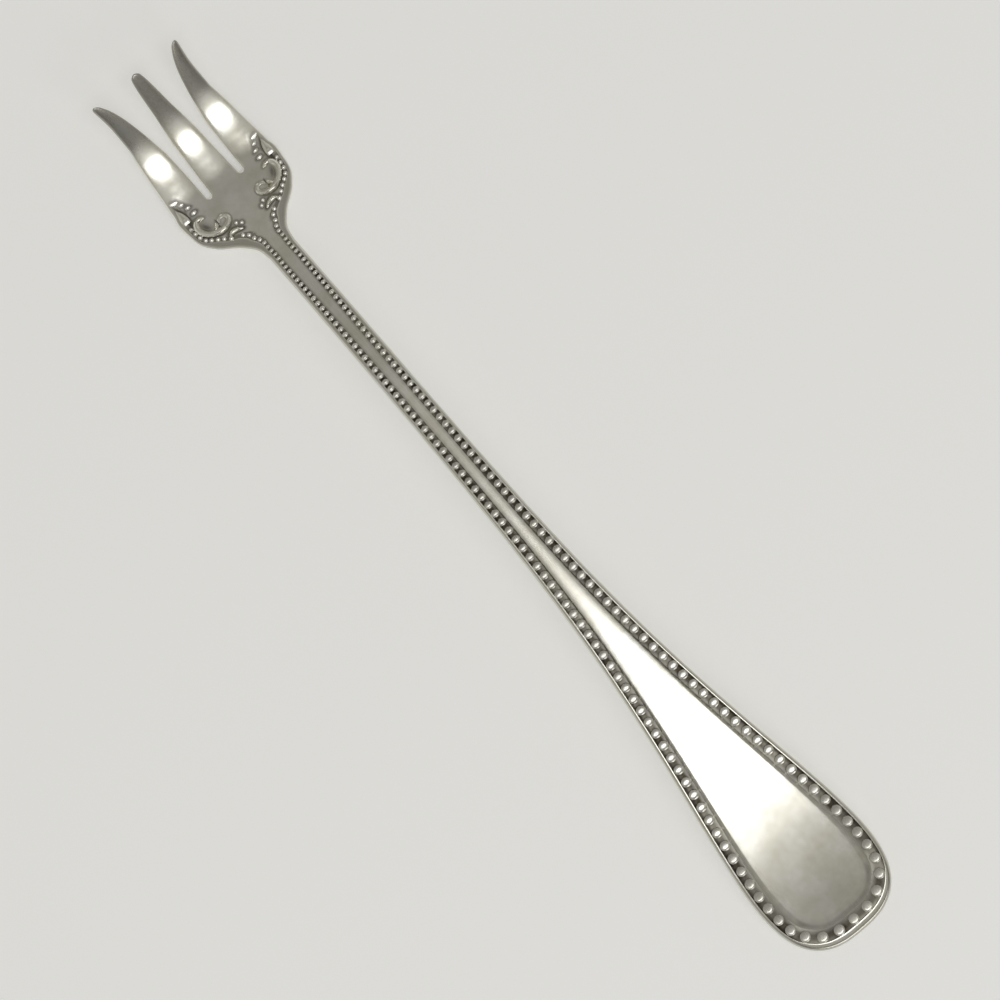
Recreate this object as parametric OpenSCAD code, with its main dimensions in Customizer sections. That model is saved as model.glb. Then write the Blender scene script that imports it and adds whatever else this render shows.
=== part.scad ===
// Beaded olive fork with three tines, struck from one piece of silver.
// It lies face up along X: handle end at -X, tine tips at +X, left side at +Y.
// It rests at z = 0 on the worn backs of the tines and of the handle end. Millimetres.

/* [Fork] */
// Length from the handle end to the tine tips
length = 150; // [145:1:160]
// Widest part of the handle, near its end
handle_w = 18.5; // [16:0.1:20]
// Width of the stem
stem_w = 4.25; // [3.8:0.05:4.6]
// Width across the shoulders of the head
shoulder_w = 17.1; // [15.5:0.05:18]
// Free length of the tines
tine_len = 18.15; // [16.5:0.15:19.5]
// Thickness of the stem, which sets the thickness everywhere else
stem_t = 2.4; // [2.1:0.05:2.8]

/* [Handle] */
// Length of the rounded handle end
end_round = 11; // [9.5:0.5:12]
// Squareness of the rounded end, 2 is an ellipse
end_power = 2.65; // [2.2:0.05:3]
// Distance in which the handle loses most of its extra width
taper_reach = 32; // [29:0.5:35]
// Shape of the taper, larger keeps the handle broad for longer
taper_power = 1.54; // [1.4:0.02:1.8]

/* [Bead border] */
// Spacing of the beads round the handle end
bead_end = 2.15; // [1.95:0.05:2.3]
// Spacing of the beads at the neck
bead_neck = 0.74; // [0.7:0.01:0.85]
// How the spacing falls along the handle, 1 is evenly
bead_fall = 1.35; // [1.2:0.05:1.5]
// Radius of a bead as a share of the spacing
bead_share = 0.38; // [0.33:0.005:0.39]

/* [Head] */
// Length of the shoulders, from the neck to their widest place
shoulder_len = 10.5; // [10:0.25:11.5]
// Width of the slots between the tines at their roots
slot_w = 0.8; // [0.6:0.05:1]
// Middle of a slot root, measured from the middle line
slot_mid = 2.78; // [2.66:0.02:2.9]

/* [Hidden] */

silver = [0.80, 0.79, 0.74];
bright_silver = [0.88, 0.87, 0.83];

// Landmarks along the fork
half_length = length / 2;
bulb_x = end_round - half_length;
root_x = half_length - tine_len;
shoulder_x = root_x - 2.05;
scroll_x = shoulder_x + 1.7;
neck_x = shoulder_x - shoulder_len;

// Side view: [share of the half length, height of the back above the table]
back_line = [[-1, -0.31], [-0.933, 0.525], [-0.867, 1.39], [-0.827, 1.9], [-0.76, 2.66], [-0.667, 3.54],
    [-0.4, 5.37], [-0.133, 6.6], [0.133, 7.4], [0.25, 7.5], [0.4, 7.05], [0.48, 6.2], [0.56, 4.65],
    [0.64, 2.62], [0.68, 1.6], [0.707, 0.94], [0.733, 0.37], [0.76, -0.01], [0.78, -0.12], [0.8, -0.04],
    [0.813, 0.11], [0.84, 0.55], [0.867, 1.14], [0.88, 1.485], [0.907, 2.325], [0.947, 3.755], [1, 5.735]];
// Thickness at the edge of the face: [share of the half length, share of the stem's thickness]
thick_line = [[-1, 0.62], [-0.88, 0.68], [-0.6, 0.74], [-0.2, 0.88], [0.12, 1], [0.47, 1], [0.59, 0.82],
    [0.69, 0.6], [0.76, 0.52], [1, 0.34]];
// Rise of the plain panel over its edges: [share of the half length, rise]
crown_line = [[-1, 0.1], [-0.93, 0.17], [-0.85, 0.24], [-0.5, 0.24], [-0.3, 0.17], [0.1, 0.1], [0.5, 0.08],
    [0.62, 0], [1, 0]];
// Rounding of the back towards its edges: [share of the half length, rise]
back_round_line = [[-1, 0.15], [-0.85, 0.32], [-0.2, 0.4], [0.1, 0.5], [0.47, 0.5], [0.62, 0.2],
    [0.72, 0.06], [1, 0.03]];
// Outline of the head: [0 at the neck, 1 at the shoulder and 2 at the tips, share of the way out]
head_line = [[0, 0], [0.17, 0.05], [0.37, 0.287], [0.57, 0.692], [0.77, 0.914], [1, 0.988], [1.06, 1],
    [1.09, 0.992], [1.13, 0.963], [1.18, 0.95], [1.275, 0.915], [1.469, 0.849], [1.566, 0.808],
    [1.662, 0.757], [1.807, 0.754], [2, 0.82]];
// Half width of the middle tine: [share of its length, half width]
middle_line = [[0, slot_mid - slot_w / 2], [0.25, 2.14], [0.463, 1.92], [0.676, 1.43], [0.893, 1.03],
    [0.973, 0.75], [1, 0.45]];
// Inner edge of an outer tine: [share of its length, distance from the middle line]
inner_line = [[0, slot_mid + slot_w / 2], [0.25, 3.25], [0.412, 3.37], [0.574, 3.82], [0.787, 4.66],
    [0.904, 5.43], [0.973, 6.2], [1, 6.65]];
// Extra distance of the bead row from the edge: [0 at the handle end and 1 at the neck, distance]
lip_line = [[0, 0.6], [0.022, 0.3], [0.045, 0], [1, 0]];
// The same along the stem and round the shoulder: [0 at the neck and 1 at the shoulder, distance]
swing_line = [[-7, 0], [-6, 0.07], [-3, 0.11], [-1.2, 0.3], [-0.3, 0.27], [0.1, 0.42], [0.25, 0.67],
    [0.42, 0.9], [0.5, 0.95], [0.6, 0.82], [0.69, 0.5], [0.74, 0.22], [0.82, 0.13], [1, 0.22], [1.4, 0.05]];
// Depth of the bead row: [0 at the handle end and 1 at the neck, share of the full depth]
depth_line = [[0, 0.2], [0.03, 0.2], [0.07, 1], [1, 1]];
// Reach of the cove inside the beads: [share of the half length, share of the bead spacing]
cove_line = [[-1, 0.9], [-0.5, 0.62], [0, 0.52], [0.5, 0.46], [1, 0.46]];

// Value at a place on the smooth curve through [place, value] stations, which never overshoots them
function secant(list, i) = (list[i + 1][1] - list[i][1]) / (list[i + 1][0] - list[i][0]);
function gradient(list, i) =
    i == 0 ? secant(list, 0)
    : i == len(list) - 1 ? secant(list, i - 1)
    : let (a = secant(list, i - 1), b = secant(list, i))
    a * b <= 0 ? 0 : 2 * a * b / (a + b);
function between(list, i, at) =
    let (h = list[i + 1][0] - list[i][0], t = (at - list[i][0]) / h, s = 1 - t)
    list[i][1] * s * s * (1 + 2 * t) + list[i + 1][1] * t * t * (3 - 2 * t)
    + h * t * s * (gradient(list, i) * s - gradient(list, i + 1) * t);
function through(list, at) =
    at <= list[0][0] ? list[0][1]
    : at >= list[len(list) - 1][0] ? list[len(list) - 1][1]
    : between(list, max([for (i = [0 : len(list) - 2]) if (list[i][0] <= at) i]), at);
function ramp(t) = let (s = min(max(t, 0), 1)) s * s * (3 - 2 * s);

// Heights along the fork
function back_z(x) = through(back_line, x / half_length);
function face_z(x) = back_z(x) + stem_t * through(thick_line, x / half_length);
function crown(x) = through(crown_line, x / half_length);
function back_round(x) = through(back_round_line, x / half_length);

// Border of the face: size of the beads' places, distance of their row from the edge, depth of its floor.
// At the very end of the handle the row lies further in, shallower, and with its beads wider apart.
shoulder_gain = 0.12;
edge_gap = 0.15;
row_share = 0.6;
tip_gain = 0.85;
sink_share = 0.17;
fade_start = shoulder_x + 0.3;
fade_length = 0.9;
function down_handle(x) = min(max((x + half_length) / (neck_x + half_length), 0), 1);
function down_shoulder(x) = (x - neck_x) / shoulder_len;
function pitch(x) =
    bead_end + (bead_neck - bead_end) * pow(down_handle(x), bead_fall)
    + shoulder_gain * ramp(down_shoulder(x) / 0.6);
function bead_inset(x) =
    edge_gap + row_share * pitch(x) + through(lip_line, down_handle(x))
    + through(swing_line, down_shoulder(x));
function spacing(x) = pitch(x) + tip_gain * through(lip_line, down_handle(x));
function sink(x) =
    sink_share * pitch(x) * (1 - ramp((x - fade_start) / fade_length))
    * through(depth_line, down_handle(x));
function floor_z(x) = face_z(x) - sink(x);
// Distances from the edge to the start of the cove, both sides of the floor and the inside of the rim
floor_inside = 0.38;
wall_foot = 0.34;
wall_top = 0.4;
function border_insets(x) =
    let (d = bead_inset(x), p = pitch(x), cove = through(cove_line, x / half_length))
    [d + cove * p, d + floor_inside * p, d - wall_foot * p, d - wall_top * p];

// Outline of the left half by the run u along it from the handle end, about in millimetres
cap_run = 16;
function cap_radius(a) =
    let (along = abs(cos(a)) / end_round, across = abs(sin(a)) * 2 / handle_w)
    pow(pow(along, end_power) + pow(across, end_power), -1 / end_power);
function head_place(x) =
    x < shoulder_x ? down_shoulder(x) : 1 + (x - shoulder_x) / (half_length - shoulder_x);
function half_width(x) =
    x > neck_x ? stem_w / 2 + (shoulder_w - stem_w) / 2 * through(head_line, head_place(x))
    : stem_w / 2 + (handle_w - stem_w) / 2 * exp(-pow(max(x - bulb_x, 0) / taper_reach, taper_power));
function run_at(x) = cap_run + x - bulb_x;
function place(u) = bulb_x + u - cap_run;
function outline(u) =
    let (a = 90 * u / cap_run, r = cap_radius(a))
    u < cap_run ? [bulb_x - r * cos(a), r * sin(a)] : [place(u), half_width(place(u))];
nudge = 0.05;
function inward(u) =
    let (step = outline(u + nudge) - outline(u - nudge))
    [step.y, -step.x] / norm(step);

// Cross sections run from a foot on the middle line to the outline, and fan out round the end
cap_fan = 1;
function foot(u) = [u < cap_run ? bulb_x - cap_fan * cos(90 * u / cap_run) : place(u), 0];
edge_soft = 0.16;
back_soft = 0.35;
edge_steps = [0.3, 0.7];
root_reach = panel_reach(run_at(root_x));
slot_shares = [for (a = [-90 : 45 : 90]) slot_mid + slot_w / 2 * sin(a)] / root_reach;
panel_shares = concat([0, slot_shares[0] / 2], slot_shares, [(1 + slot_shares[4]) / 2, 1]);
panel_last = len(panel_shares) - 1;
top_last = panel_last + 4;
back_first = top_last + len(edge_steps) + 1;
slot_first = 2;
slot_last = slot_first + len(slot_shares) - 1;
function section_lean(u) =
    let (out = outline(u) - foot(u))
    -(out * inward(u)) / norm(out);
function panel_reach(u) =
    norm(outline(u) - foot(u)) - border_insets(outline(u).x)[0] / section_lean(u);
function on_panel(u, share) =
    let (out = outline(u) - foot(u))
    foot(u) + out / norm(out) * panel_reach(u) * share;
function from_edge(u, d) =
    let (out = outline(u) - foot(u))
    outline(u) - out / norm(out) * d / section_lean(u);
function raised(at, z) = [at.x, at.y, z];
function section(u) =
    let (edge = outline(u), insets = border_insets(edge.x), rim = face_z(edge.x),
        back = back_z(edge.x) + back_round(edge.x))
    concat(
        [for (v = panel_shares) let (at = on_panel(u, v))
            raised(at, face_z(at.x) + crown(at.x) * (1 - v * v))],
        [for (k = [1, 2]) let (at = from_edge(u, insets[k])) raised(at, floor_z(at.x))],
        [for (d = [insets[3], edge_soft]) let (at = from_edge(u, d)) raised(at, face_z(at.x))],
        [for (t = edge_steps) raised(edge, rim + (back - rim) * t)],
        [let (at = from_edge(u, back_soft)) raised(at, back_z(at.x) + back_round(at.x))],
        [for (k = [panel_last : -1 : 0]) let (v = panel_shares[k], at = on_panel(u, v))
            raised(at, back_z(at.x) + back_round(at.x) * v * v)]);

// Rows of sections from the handle end to the slot roots
function spread(a, b, n) = [for (i = [0 : n - 1]) a + (b - a) * i / n];
stem_x = 13;
row_runs = concat(spread(0, cap_run, 18), spread(cap_run, run_at(stem_x), 26),
    spread(run_at(stem_x), run_at(neck_x), 8), spread(run_at(neck_x), run_at(root_x), 24));
function root_set_back(y) =
    let (off = (y - slot_mid) * 2 / slot_w)
    abs(off) < 1 ? slot_w / 2 * sqrt(1 - off * off) : 0;
root_row = [for (p = section(run_at(root_x))) [p.x - root_set_back(p.y), p.y, p.z]];
body_rows = concat([for (u = row_runs) section(u)], [root_row]);
row_size = len(root_row);

// Tine sections keep the root's columns and follow the edges of the tine
tine_rows = concat([0, 0.035, 0.08], [for (t = [0.14 : 0.08 : 0.86]) t], [0.92, 0.96, 0.985, 1]);
tine_crown = 0.155;
crown_start = 4;
tine_edge = 0.2;
function tine_soft(t) = tine_edge * ramp(t * 8) * (1 - 0.7 * t);
function tine_point(x, y, across, half, top) =
    let (swell = tine_crown * half * ramp((x - root_x) / crown_start) * (1 - pow(2 * across - 1, 2)))
    [x, y, top ? face_z(x) + swell : back_z(x) + back_round(x) * pow(min(y / root_reach, 1), 2)];
function edge_points(x, y, shares) =
    let (high = tine_point(x, y, 0, 0, true), low = tine_point(x, y, 0, 0, false))
    [for (t = shares) high + (low - high) * t];
thirds = [1 / 3, 2 / 3];
root_inner = inner_line[0][1];
root_outer = half_width(root_x);
function outer_share(k) = (root_row[k].y - root_inner) / (root_outer - root_inner);
outer_top = [for (k = [slot_last : top_last]) outer_share(k)];
outer_back = [for (k = [back_first : row_size - 1 - slot_last]) outer_share(k)];
function outer_ring(t) =
    let (x = root_x + tine_len * t, a = through(inner_line, t), b = half_width(x), half = (b - a) / 2,
        soft = tine_soft(t))
    concat(
        [for (s = outer_top) tine_point(x, max(a + (b - a) * s, a + soft), s, half, true)],
        edge_points(x, b, edge_steps),
        [for (s = outer_back) tine_point(x, max(a + (b - a) * s, a + soft), s, half, false)],
        edge_points(x, a, [thirds[1], thirds[0]]));
function middle_half(t) =
    let (x = root_x + tine_len * t, h = through(middle_line, t), soft = tine_soft(t))
    concat(
        [for (s = [0, 0.5, 1]) tine_point(x, min(h * s, h - soft), (1 + s) / 2, h, true)],
        edge_points(x, h, thirds),
        [for (s = [1, 0.5, 0]) tine_point(x, min(h * s, h - soft), (1 + s) / 2, h, false)]);
function flipped(p) = [p.x, 0 - p.y, p.z];
function middle_ring(t) =
    let (half = middle_half(t))
    concat(half, [for (k = [len(half) - 2 : -1 : 1]) flipped(half[k])]);

// Patches of the skin, each a list of rows of points
slot_patch = [for (t = concat(0, thirds, 1)) [for (k = [slot_first : slot_last])
    root_row[k] + (root_row[row_size - 1 - k] - root_row[k]) * t]];
outer_patch = [for (t = tine_rows) outer_ring(t)];
middle_patch = [for (t = tine_rows) middle_ring(t)];
function mirrored(patch) = [for (row = patch) [for (p = row) flipped(p)]];

// Triangles of a patch, whose rows may close on themselves, with the first point numbered from start
function patch_faces(patch, start, closed, flip) =
    let (n = len(patch[0]))
    [for (i = [0 : len(patch) - 2], j = [0 : n - (closed ? 1 : 2)])
        let (k = (j + 1) % n, a = start + i * n + j, b = start + i * n + k, c = b + n, d = a + n,
            split = j < n / 2 ? [[a, b, c], [a, c, d]] : [[a, b, d], [b, c, d]])
        each flip ? [for (f = split) [f[0], f[2], f[1]]] : split];
function cap_face(patch, start, flip) =
    let (n = len(patch[0]), first = start + (len(patch) - 1) * n)
    [for (k = [1 : n - 2]) flip ? [first, first + k + 1, first + k] : [first, first + k, first + k + 1]];
function joined(lists) = [for (list = lists) each list];
function total(patches, count) = count == 0 ? 0
    : total(patches, count - 1) + len(patches[count - 1]) * len(patches[count - 1][0]);

module skin() {
    patches = [body_rows, mirrored(body_rows), slot_patch, mirrored(slot_patch),
        outer_patch, mirrored(outer_patch), middle_patch];
    flips = [false, true, false, true, false, true, false];
    last = len(patches) - 1;
    starts = [for (k = [0 : last]) total(patches, k)];
    first_tine = 4;
    sides = [for (k = [0 : last]) patch_faces(patches[k], starts[k], k >= first_tine, flips[k])];
    tips = [for (k = [first_tine : last]) cap_face(patches[k], starts[k], flips[k])];
    polyhedron([for (patch = patches) each joined(patch)], joined(concat(sides, tips)));
}

// The skin, worn flat where it rests on the table
module fork_blank() {
    below = [2 * length, 2 * handle_w, 10];
    color(silver) difference() {
        skin();
        translate([0, 0, -below.z / 2]) cube(below, center = true);
    }
}

// Beads follow one row inside the outline, closer together towards the neck
seat = 0.02;
function bead_path(u) = from_edge(u, bead_inset(outline(u).x));
function path_speed(u) = norm(bead_path(u + nudge) - bead_path(u - nudge)) / nudge / 2;
function next_bead(u) =
    let (step = spacing(bead_path(u).x), middle = u + step / 2 / path_speed(u))
    u + step / path_speed(middle);
function bead_row(u, stop) = bead_path(u).x > stop ? [] : concat([u], bead_row(next_bead(u), stop));
terminal_x = bulb_x - 3;
grip_x = -10;
leaf_x = neck_x + 5.55;
last_neck_x = leaf_x - 0.2;
pearl_x = leaf_x + 0.75;
last_pearl_x = shoulder_x + 0.2;
beads = bead_row(0, last_pearl_x);
function beads_between(a, b) = [for (u = beads) if (bead_path(u).x > a && bead_path(u).x <= b) u];

// Places its child on the floor of the border, square to it
module on_floor(at) {
    slope = (floor_z(at.x + nudge) - floor_z(at.x - nudge)) / nudge / 2;
    translate([at.x, at.y, floor_z(at.x)]) rotate([0, -atan(slope), 0]) translate([0, 0, -seat]) children();
}

// The same on the plain face
module on_face(at) {
    translate([0, 0, sink(at.x)]) on_floor(at) children();
}

// Worn bead: a cap of a ball, lower than half of it
bead_height = 0.56;
module bead(r) {
    ball = r * (1 + bead_height * bead_height) / bead_height / 2;
    below = 4 * ball;
    difference() {
        translate([0, 0, r * bead_height - ball]) sphere(ball, $fn = 24);
        translate([0, 0, -below / 2]) cube(below, center = true);
    }
}

module bead_run(a, b) {
    for (u = beads_between(a, b)) on_floor(bead_path(u)) bead(bead_share * pitch(bead_path(u).x));
}

module right() {
    mirror([0, 1, 0]) children();
}

module terminal_beads() {
    color(bright_silver) {
        bead_run(-half_length, terminal_x);
        right() for (u = beads_between(-half_length, terminal_x)) if (u > 0)
            on_floor(bead_path(u)) bead(bead_share * pitch(bead_path(u).x));
    }
}

module handle_beads() {
    color(bright_silver) bead_run(terminal_x, grip_x);
}

module stem_beads() {
    color(bright_silver) bead_run(grip_x, neck_x);
}

// The last bead of the neck is a larger drop on the rim, where the neck scroll ends
drop_r = 0.36;
drop_place = [leaf_x + 0.2, 4.2];
module neck_beads() {
    color(bright_silver) {
        bead_run(neck_x, last_neck_x);
        on_face(drop_place) bead(drop_r);
    }
}

module shoulder_pearls() {
    color(bright_silver) bead_run(pearl_x, last_pearl_x);
}

// Ridges of the scroll work: [past the scroll's place, from the middle line, half width, height]
c_scroll_path = [[-1.55, 5.2, 0.14, 0.14], [-1.38, 5.72, 0.33, 0.45], [-1.4, 6.32, 0.4, 0.52],
    [-1.8, 6.72, 0.43, 0.46], [-2.45, 6.83, 0.45, 0.44], [-3.22, 6.58, 0.46, 0.48], [-3.92, 6, 0.46, 0.54],
    [-4.38, 5.25, 0.45, 0.56], [-4.58, 4.4, 0.44, 0.56], [-4.53, 3.6, 0.41, 0.52], [-4.2, 2.95, 0.36, 0.42],
    [-3.66, 2.66, 0.3, 0.27], [-3.15, 2.9, 0.25, 0.2], [-2.98, 3.45, 0.22, 0.16], [-3.2, 3.92, 0.18, 0.12],
    [-3.57, 4.05, 0.1, 0.06]];
inner_leaf_path = [[-4.08, 5.35, 0.1, 0.1], [-3.94, 4.93, 0.25, 0.3], [-3.64, 4.55, 0.26, 0.3],
    [-3.2, 4.42, 0.12, 0.12]];
neck_scroll_path = [[-6.3, 2.05, 0.1, 0.06], [-6.1, 2.4, 0.24, 0.25], [-5.86, 2.85, 0.32, 0.38],
    [-5.74, 3.36, 0.34, 0.43], [-5.84, 3.8, 0.3, 0.38], [-6.12, 4.08, 0.22, 0.27], [-6.4, 4.22, 0.12, 0.12]];
shoulder_leaf_path = [[-1.12, 7.38, 0.42, 0.03], [-0.64, 7.38, 0.52, 0.36], [-0.38, 7.38, 0.54, 0.45],
    [0.15, 7.38, 0.5, 0.36], [0.85, 7.42, 0.35, 0.22], [1.75, 7.55, 0.07, 0.05]];
pearl_pair_places = [[-5.15, 2.35], [-5.62, 1.75]];
pearl_pair_r = 0.28;
// Seeds that trail from the shoulder onto the tine: [past the scroll's place, from the middle, length, lean]
seeds = [[-0.14, 5.8, 0.8, 92], [0.9, 6, 0.75, 84], [1.78, 6.47, 0.75, 72], [2.57, 7.05, 1.2, 75]];
seed_r = 0.26;
seed_height = 0.34;

// Point on the smooth curve through a list of points, by the number of the point
function bend(points, t) =
    let (last = len(points) - 1, i = min(floor(t), last - 1), f = t - i,
        a = points[max(i - 1, 0)], b = points[i], c = points[i + 1], d = points[min(i + 2, last)])
    b + ((c - a) * f + (2 * a - 5 * b + 4 * c - d) * f * f + (3 * b - a - 3 * c + d) * f * f * f) / 2;
function ridge_row(points, t) =
    let (p = bend(points, t), last = len(points) - 1,
        ahead = bend(points, min(t + nudge, last)) - bend(points, max(t - nudge, 0)),
        side = [-ahead.y, ahead.x] / norm([ahead.x, ahead.y]), x = scroll_x + p.x,
        slope = (face_z(x + nudge) - face_z(x - nudge)) / nudge / 2, up = [-slope, 0, 1] / norm([slope, 1]))
    [for (a = [0 : 30 : 180]) let (at = [x, p.y] + side * p.z * cos(a))
        raised(at, face_z(at.x)) + up * (p[3] * sin(a) - seat)];
module ridge(points, steps) {
    last = len(points) - 1;
    rows = [for (i = [0 : steps]) ridge_row(points, last * i / steps)];
    polyhedron(joined(rows), concat(patch_faces(rows, 0, true, true), cap_face(rows, 0, true),
        cap_face([rows[0]], 0, false)));
}

module c_scroll() {
    color(silver) ridge(c_scroll_path, 42);
}

module inner_leaf() {
    color(silver) ridge(inner_leaf_path, 9);
}

module neck_scroll() {
    color(silver) ridge(neck_scroll_path, 18);
}

module shoulder_leaf() {
    color(silver) ridge(shoulder_leaf_path, 12);
}

module pearl_pair() {
    color(bright_silver) for (p = pearl_pair_places)
        on_face([scroll_x + p.x, p.y]) bead(pearl_pair_r);
}

module trailing_pearls() {
    color(bright_silver) for (s = seeds) {
        reach = [cos(s[3]), sin(s[3]), 0, 0] * s[2] / 2;
        tip = [s.x, s.y, seed_r / 2, seed_height / 3];
        ridge([tip - reach, [s.x, s.y, seed_r, seed_height], tip + reach], 6);
    }
}

fork_blank();
terminal_beads();
handle_beads();  // left_handle_beads
right() handle_beads();  // right_handle_beads
stem_beads();  // left_stem_beads
right() stem_beads();  // right_stem_beads
neck_beads();  // left_neck_beads
right() neck_beads();  // right_neck_beads
shoulder_pearls();  // left_shoulder_pearls
right() shoulder_pearls();  // right_shoulder_pearls
c_scroll();  // left_c_scroll
right() c_scroll();  // right_c_scroll
inner_leaf();  // left_inner_leaf
right() inner_leaf();  // right_inner_leaf
neck_scroll();  // left_neck_scroll
right() neck_scroll();  // right_neck_scroll
pearl_pair();  // left_pearl_pair
right() pearl_pair();  // right_pearl_pair
shoulder_leaf();  // left_shoulder_leaf
right() shoulder_leaf();  // right_shoulder_leaf
trailing_pearls();  // left_trailing_pearls
right() trailing_pearls();  // right_trailing_pearls
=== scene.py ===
import math

import bmesh
import bpy
import numpy as np
from mathutils import Matrix, Vector


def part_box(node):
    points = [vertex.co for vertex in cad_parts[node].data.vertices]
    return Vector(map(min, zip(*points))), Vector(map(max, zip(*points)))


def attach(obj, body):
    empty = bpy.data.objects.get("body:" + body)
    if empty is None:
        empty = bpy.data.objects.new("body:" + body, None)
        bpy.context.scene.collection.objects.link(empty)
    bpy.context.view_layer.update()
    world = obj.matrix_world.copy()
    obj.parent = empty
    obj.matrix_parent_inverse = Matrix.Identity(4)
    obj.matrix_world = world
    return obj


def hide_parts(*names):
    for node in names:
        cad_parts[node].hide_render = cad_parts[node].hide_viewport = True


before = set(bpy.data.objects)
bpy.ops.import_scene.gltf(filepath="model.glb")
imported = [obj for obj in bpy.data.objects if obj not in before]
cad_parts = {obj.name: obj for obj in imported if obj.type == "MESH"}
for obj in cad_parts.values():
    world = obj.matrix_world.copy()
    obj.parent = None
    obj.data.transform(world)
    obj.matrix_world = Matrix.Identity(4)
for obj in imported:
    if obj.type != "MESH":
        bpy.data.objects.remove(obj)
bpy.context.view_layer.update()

# Sizes of the fork in millimetres: the same stations as the solids, so that both have one form
MM = 0.001
blank_low, blank_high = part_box("fork_blank")
LENGTH = (blank_high.x - blank_low.x) / MM
HANDLE_W = (blank_high.y - blank_low.y) / MM
STEM_W = 4.25
SHOULDER_W = 17.1
TINE_LEN = 18.15
STEM_T = 2.4
END_ROUND = 11
END_POWER = 2.65
TAPER_REACH = 32
TAPER_POWER = 1.54
BEAD_END = 2.15
BEAD_NECK = 0.74
BEAD_FALL = 1.35
BEAD_SHARE = 0.38
SHOULDER_LEN = 10.5
SHOULDER_TO_ROOT = 2.05
SHOULDER_TO_SCROLL = 1.7
SLOT_W = 0.8
SLOT_MID = 2.78

HALF_LENGTH = LENGTH / 2
BULB_X = END_ROUND - HALF_LENGTH
ROOT_X = HALF_LENGTH - TINE_LEN
SHOULDER_X = ROOT_X - SHOULDER_TO_ROOT
SCROLL_X = SHOULDER_X + SHOULDER_TO_SCROLL
NECK_X = SHOULDER_X - SHOULDER_LEN
SLOT_LOW = SLOT_MID - SLOT_W / 2
SLOT_HIGH = SLOT_MID + SLOT_W / 2

# By the place along the fork as a share of half its length: height of the back, thickness as a
# share of the stem's, crown of the panel, rounding of the back, width of the cove in bead pitches
BACK_LINE = [(-1, -0.31), (-0.933, 0.525), (-0.867, 1.39), (-0.827, 1.9), (-0.76, 2.66),
             (-0.667, 3.54), (-0.4, 5.37), (-0.133, 6.6), (0.133, 7.4), (0.25, 7.5), (0.4, 7.05),
             (0.48, 6.2), (0.56, 4.65), (0.64, 2.62), (0.68, 1.6), (0.707, 0.94), (0.733, 0.37),
             (0.76, -0.01), (0.78, -0.12), (0.8, -0.04), (0.813, 0.11), (0.84, 0.55),
             (0.867, 1.14), (0.88, 1.485), (0.907, 2.325), (0.947, 3.755), (1, 5.735)]
THICK_LINE = [(-1, 0.62), (-0.88, 0.68), (-0.6, 0.74), (-0.2, 0.88), (0.12, 1), (0.47, 1),
              (0.59, 0.82), (0.69, 0.6), (0.76, 0.52), (1, 0.34)]
CROWN_LINE = [(-1, 0.1), (-0.93, 0.17), (-0.85, 0.24), (-0.5, 0.24), (-0.3, 0.17), (0.1, 0.1),
              (0.5, 0.08), (0.62, 0), (1, 0)]
BACK_ROUND_LINE = [(-1, 0.15), (-0.85, 0.32), (-0.2, 0.4), (0.1, 0.5), (0.47, 0.5), (0.62, 0.2),
                   (0.72, 0.06), (1, 0.03)]
COVE_LINE = [(-1, 0.9), (-0.5, 0.62), (0, 0.52), (0.5, 0.46), (1, 0.46)]

# Flare of the head, from the neck (0) over the widest place (about 1) to the tips (2)
HEAD_LINE = [(0, 0), (0.17, 0.05), (0.37, 0.287), (0.57, 0.692), (0.77, 0.914), (1, 0.988),
             (1.06, 1), (1.09, 0.992), (1.13, 0.963), (1.18, 0.95), (1.275, 0.915),
             (1.469, 0.849), (1.566, 0.808), (1.662, 0.757), (1.807, 0.754), (2, 0.82)]

# Edge of the middle tine and inner edge of the outer tines, from the roots (0) to the tips (1)
MIDDLE_LINE = [(0, SLOT_LOW), (0.25, 2.14), (0.463, 1.92), (0.676, 1.43), (0.893, 1.03),
               (0.973, 0.75), (1, 0.45)]
INNER_LINE = [(0, SLOT_HIGH), (0.25, 3.25), (0.412, 3.37), (0.574, 3.82), (0.787, 4.66),
              (0.904, 5.43), (0.973, 6.2), (1, 6.65)]

# Wider lip and shallower border at the handle end (0), and none of that towards the neck (1)
LIP_LINE = [(0, 0.6), (0.022, 0.3), (0.045, 0), (1, 0)]
DEPTH_LINE = [(0, 0.2), (0.03, 0.2), (0.07, 1), (1, 1)]

# How far the bead row swings inwards, from the neck (0) to the widest place of the shoulder (1)
SWING_LINE = [(-7, 0), (-6, 0.07), (-3, 0.11), (-1.2, 0.3), (-0.3, 0.27), (0.1, 0.42),
              (0.25, 0.67), (0.42, 0.9), (0.5, 0.95), (0.6, 0.82), (0.69, 0.5), (0.74, 0.22),
              (0.82, 0.13), (1, 0.22), (1.4, 0.05)]


# Curves
def through(stations, at):
    """Value on the smooth curve through (place, value) stations, which never overshoots them."""
    place, value = np.array(stations, float).T
    step = np.diff(place)
    secant = np.diff(value) / step
    product = secant[:-1] * secant[1:]
    total = np.where(product > 0, secant[:-1] + secant[1:], 1)
    inner = np.where(product > 0, 2 * product / total, 0)
    slope = np.concatenate([secant[:1], inner, secant[-1:]])
    at = np.clip(at, place[0], place[-1])
    i = np.clip(np.searchsorted(place, at, side="right") - 1, 0, len(step) - 1)
    t = (at - place[i]) / step[i]
    s = 1 - t
    return (value[i] * s * s * (1 + 2 * t) + value[i + 1] * t * t * (3 - 2 * t)
            + step[i] * t * s * (slope[i] * s - slope[i + 1] * t))


def ramp(t):
    s = np.clip(t, 0, 1)
    return s * s * (3 - 2 * s)


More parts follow.
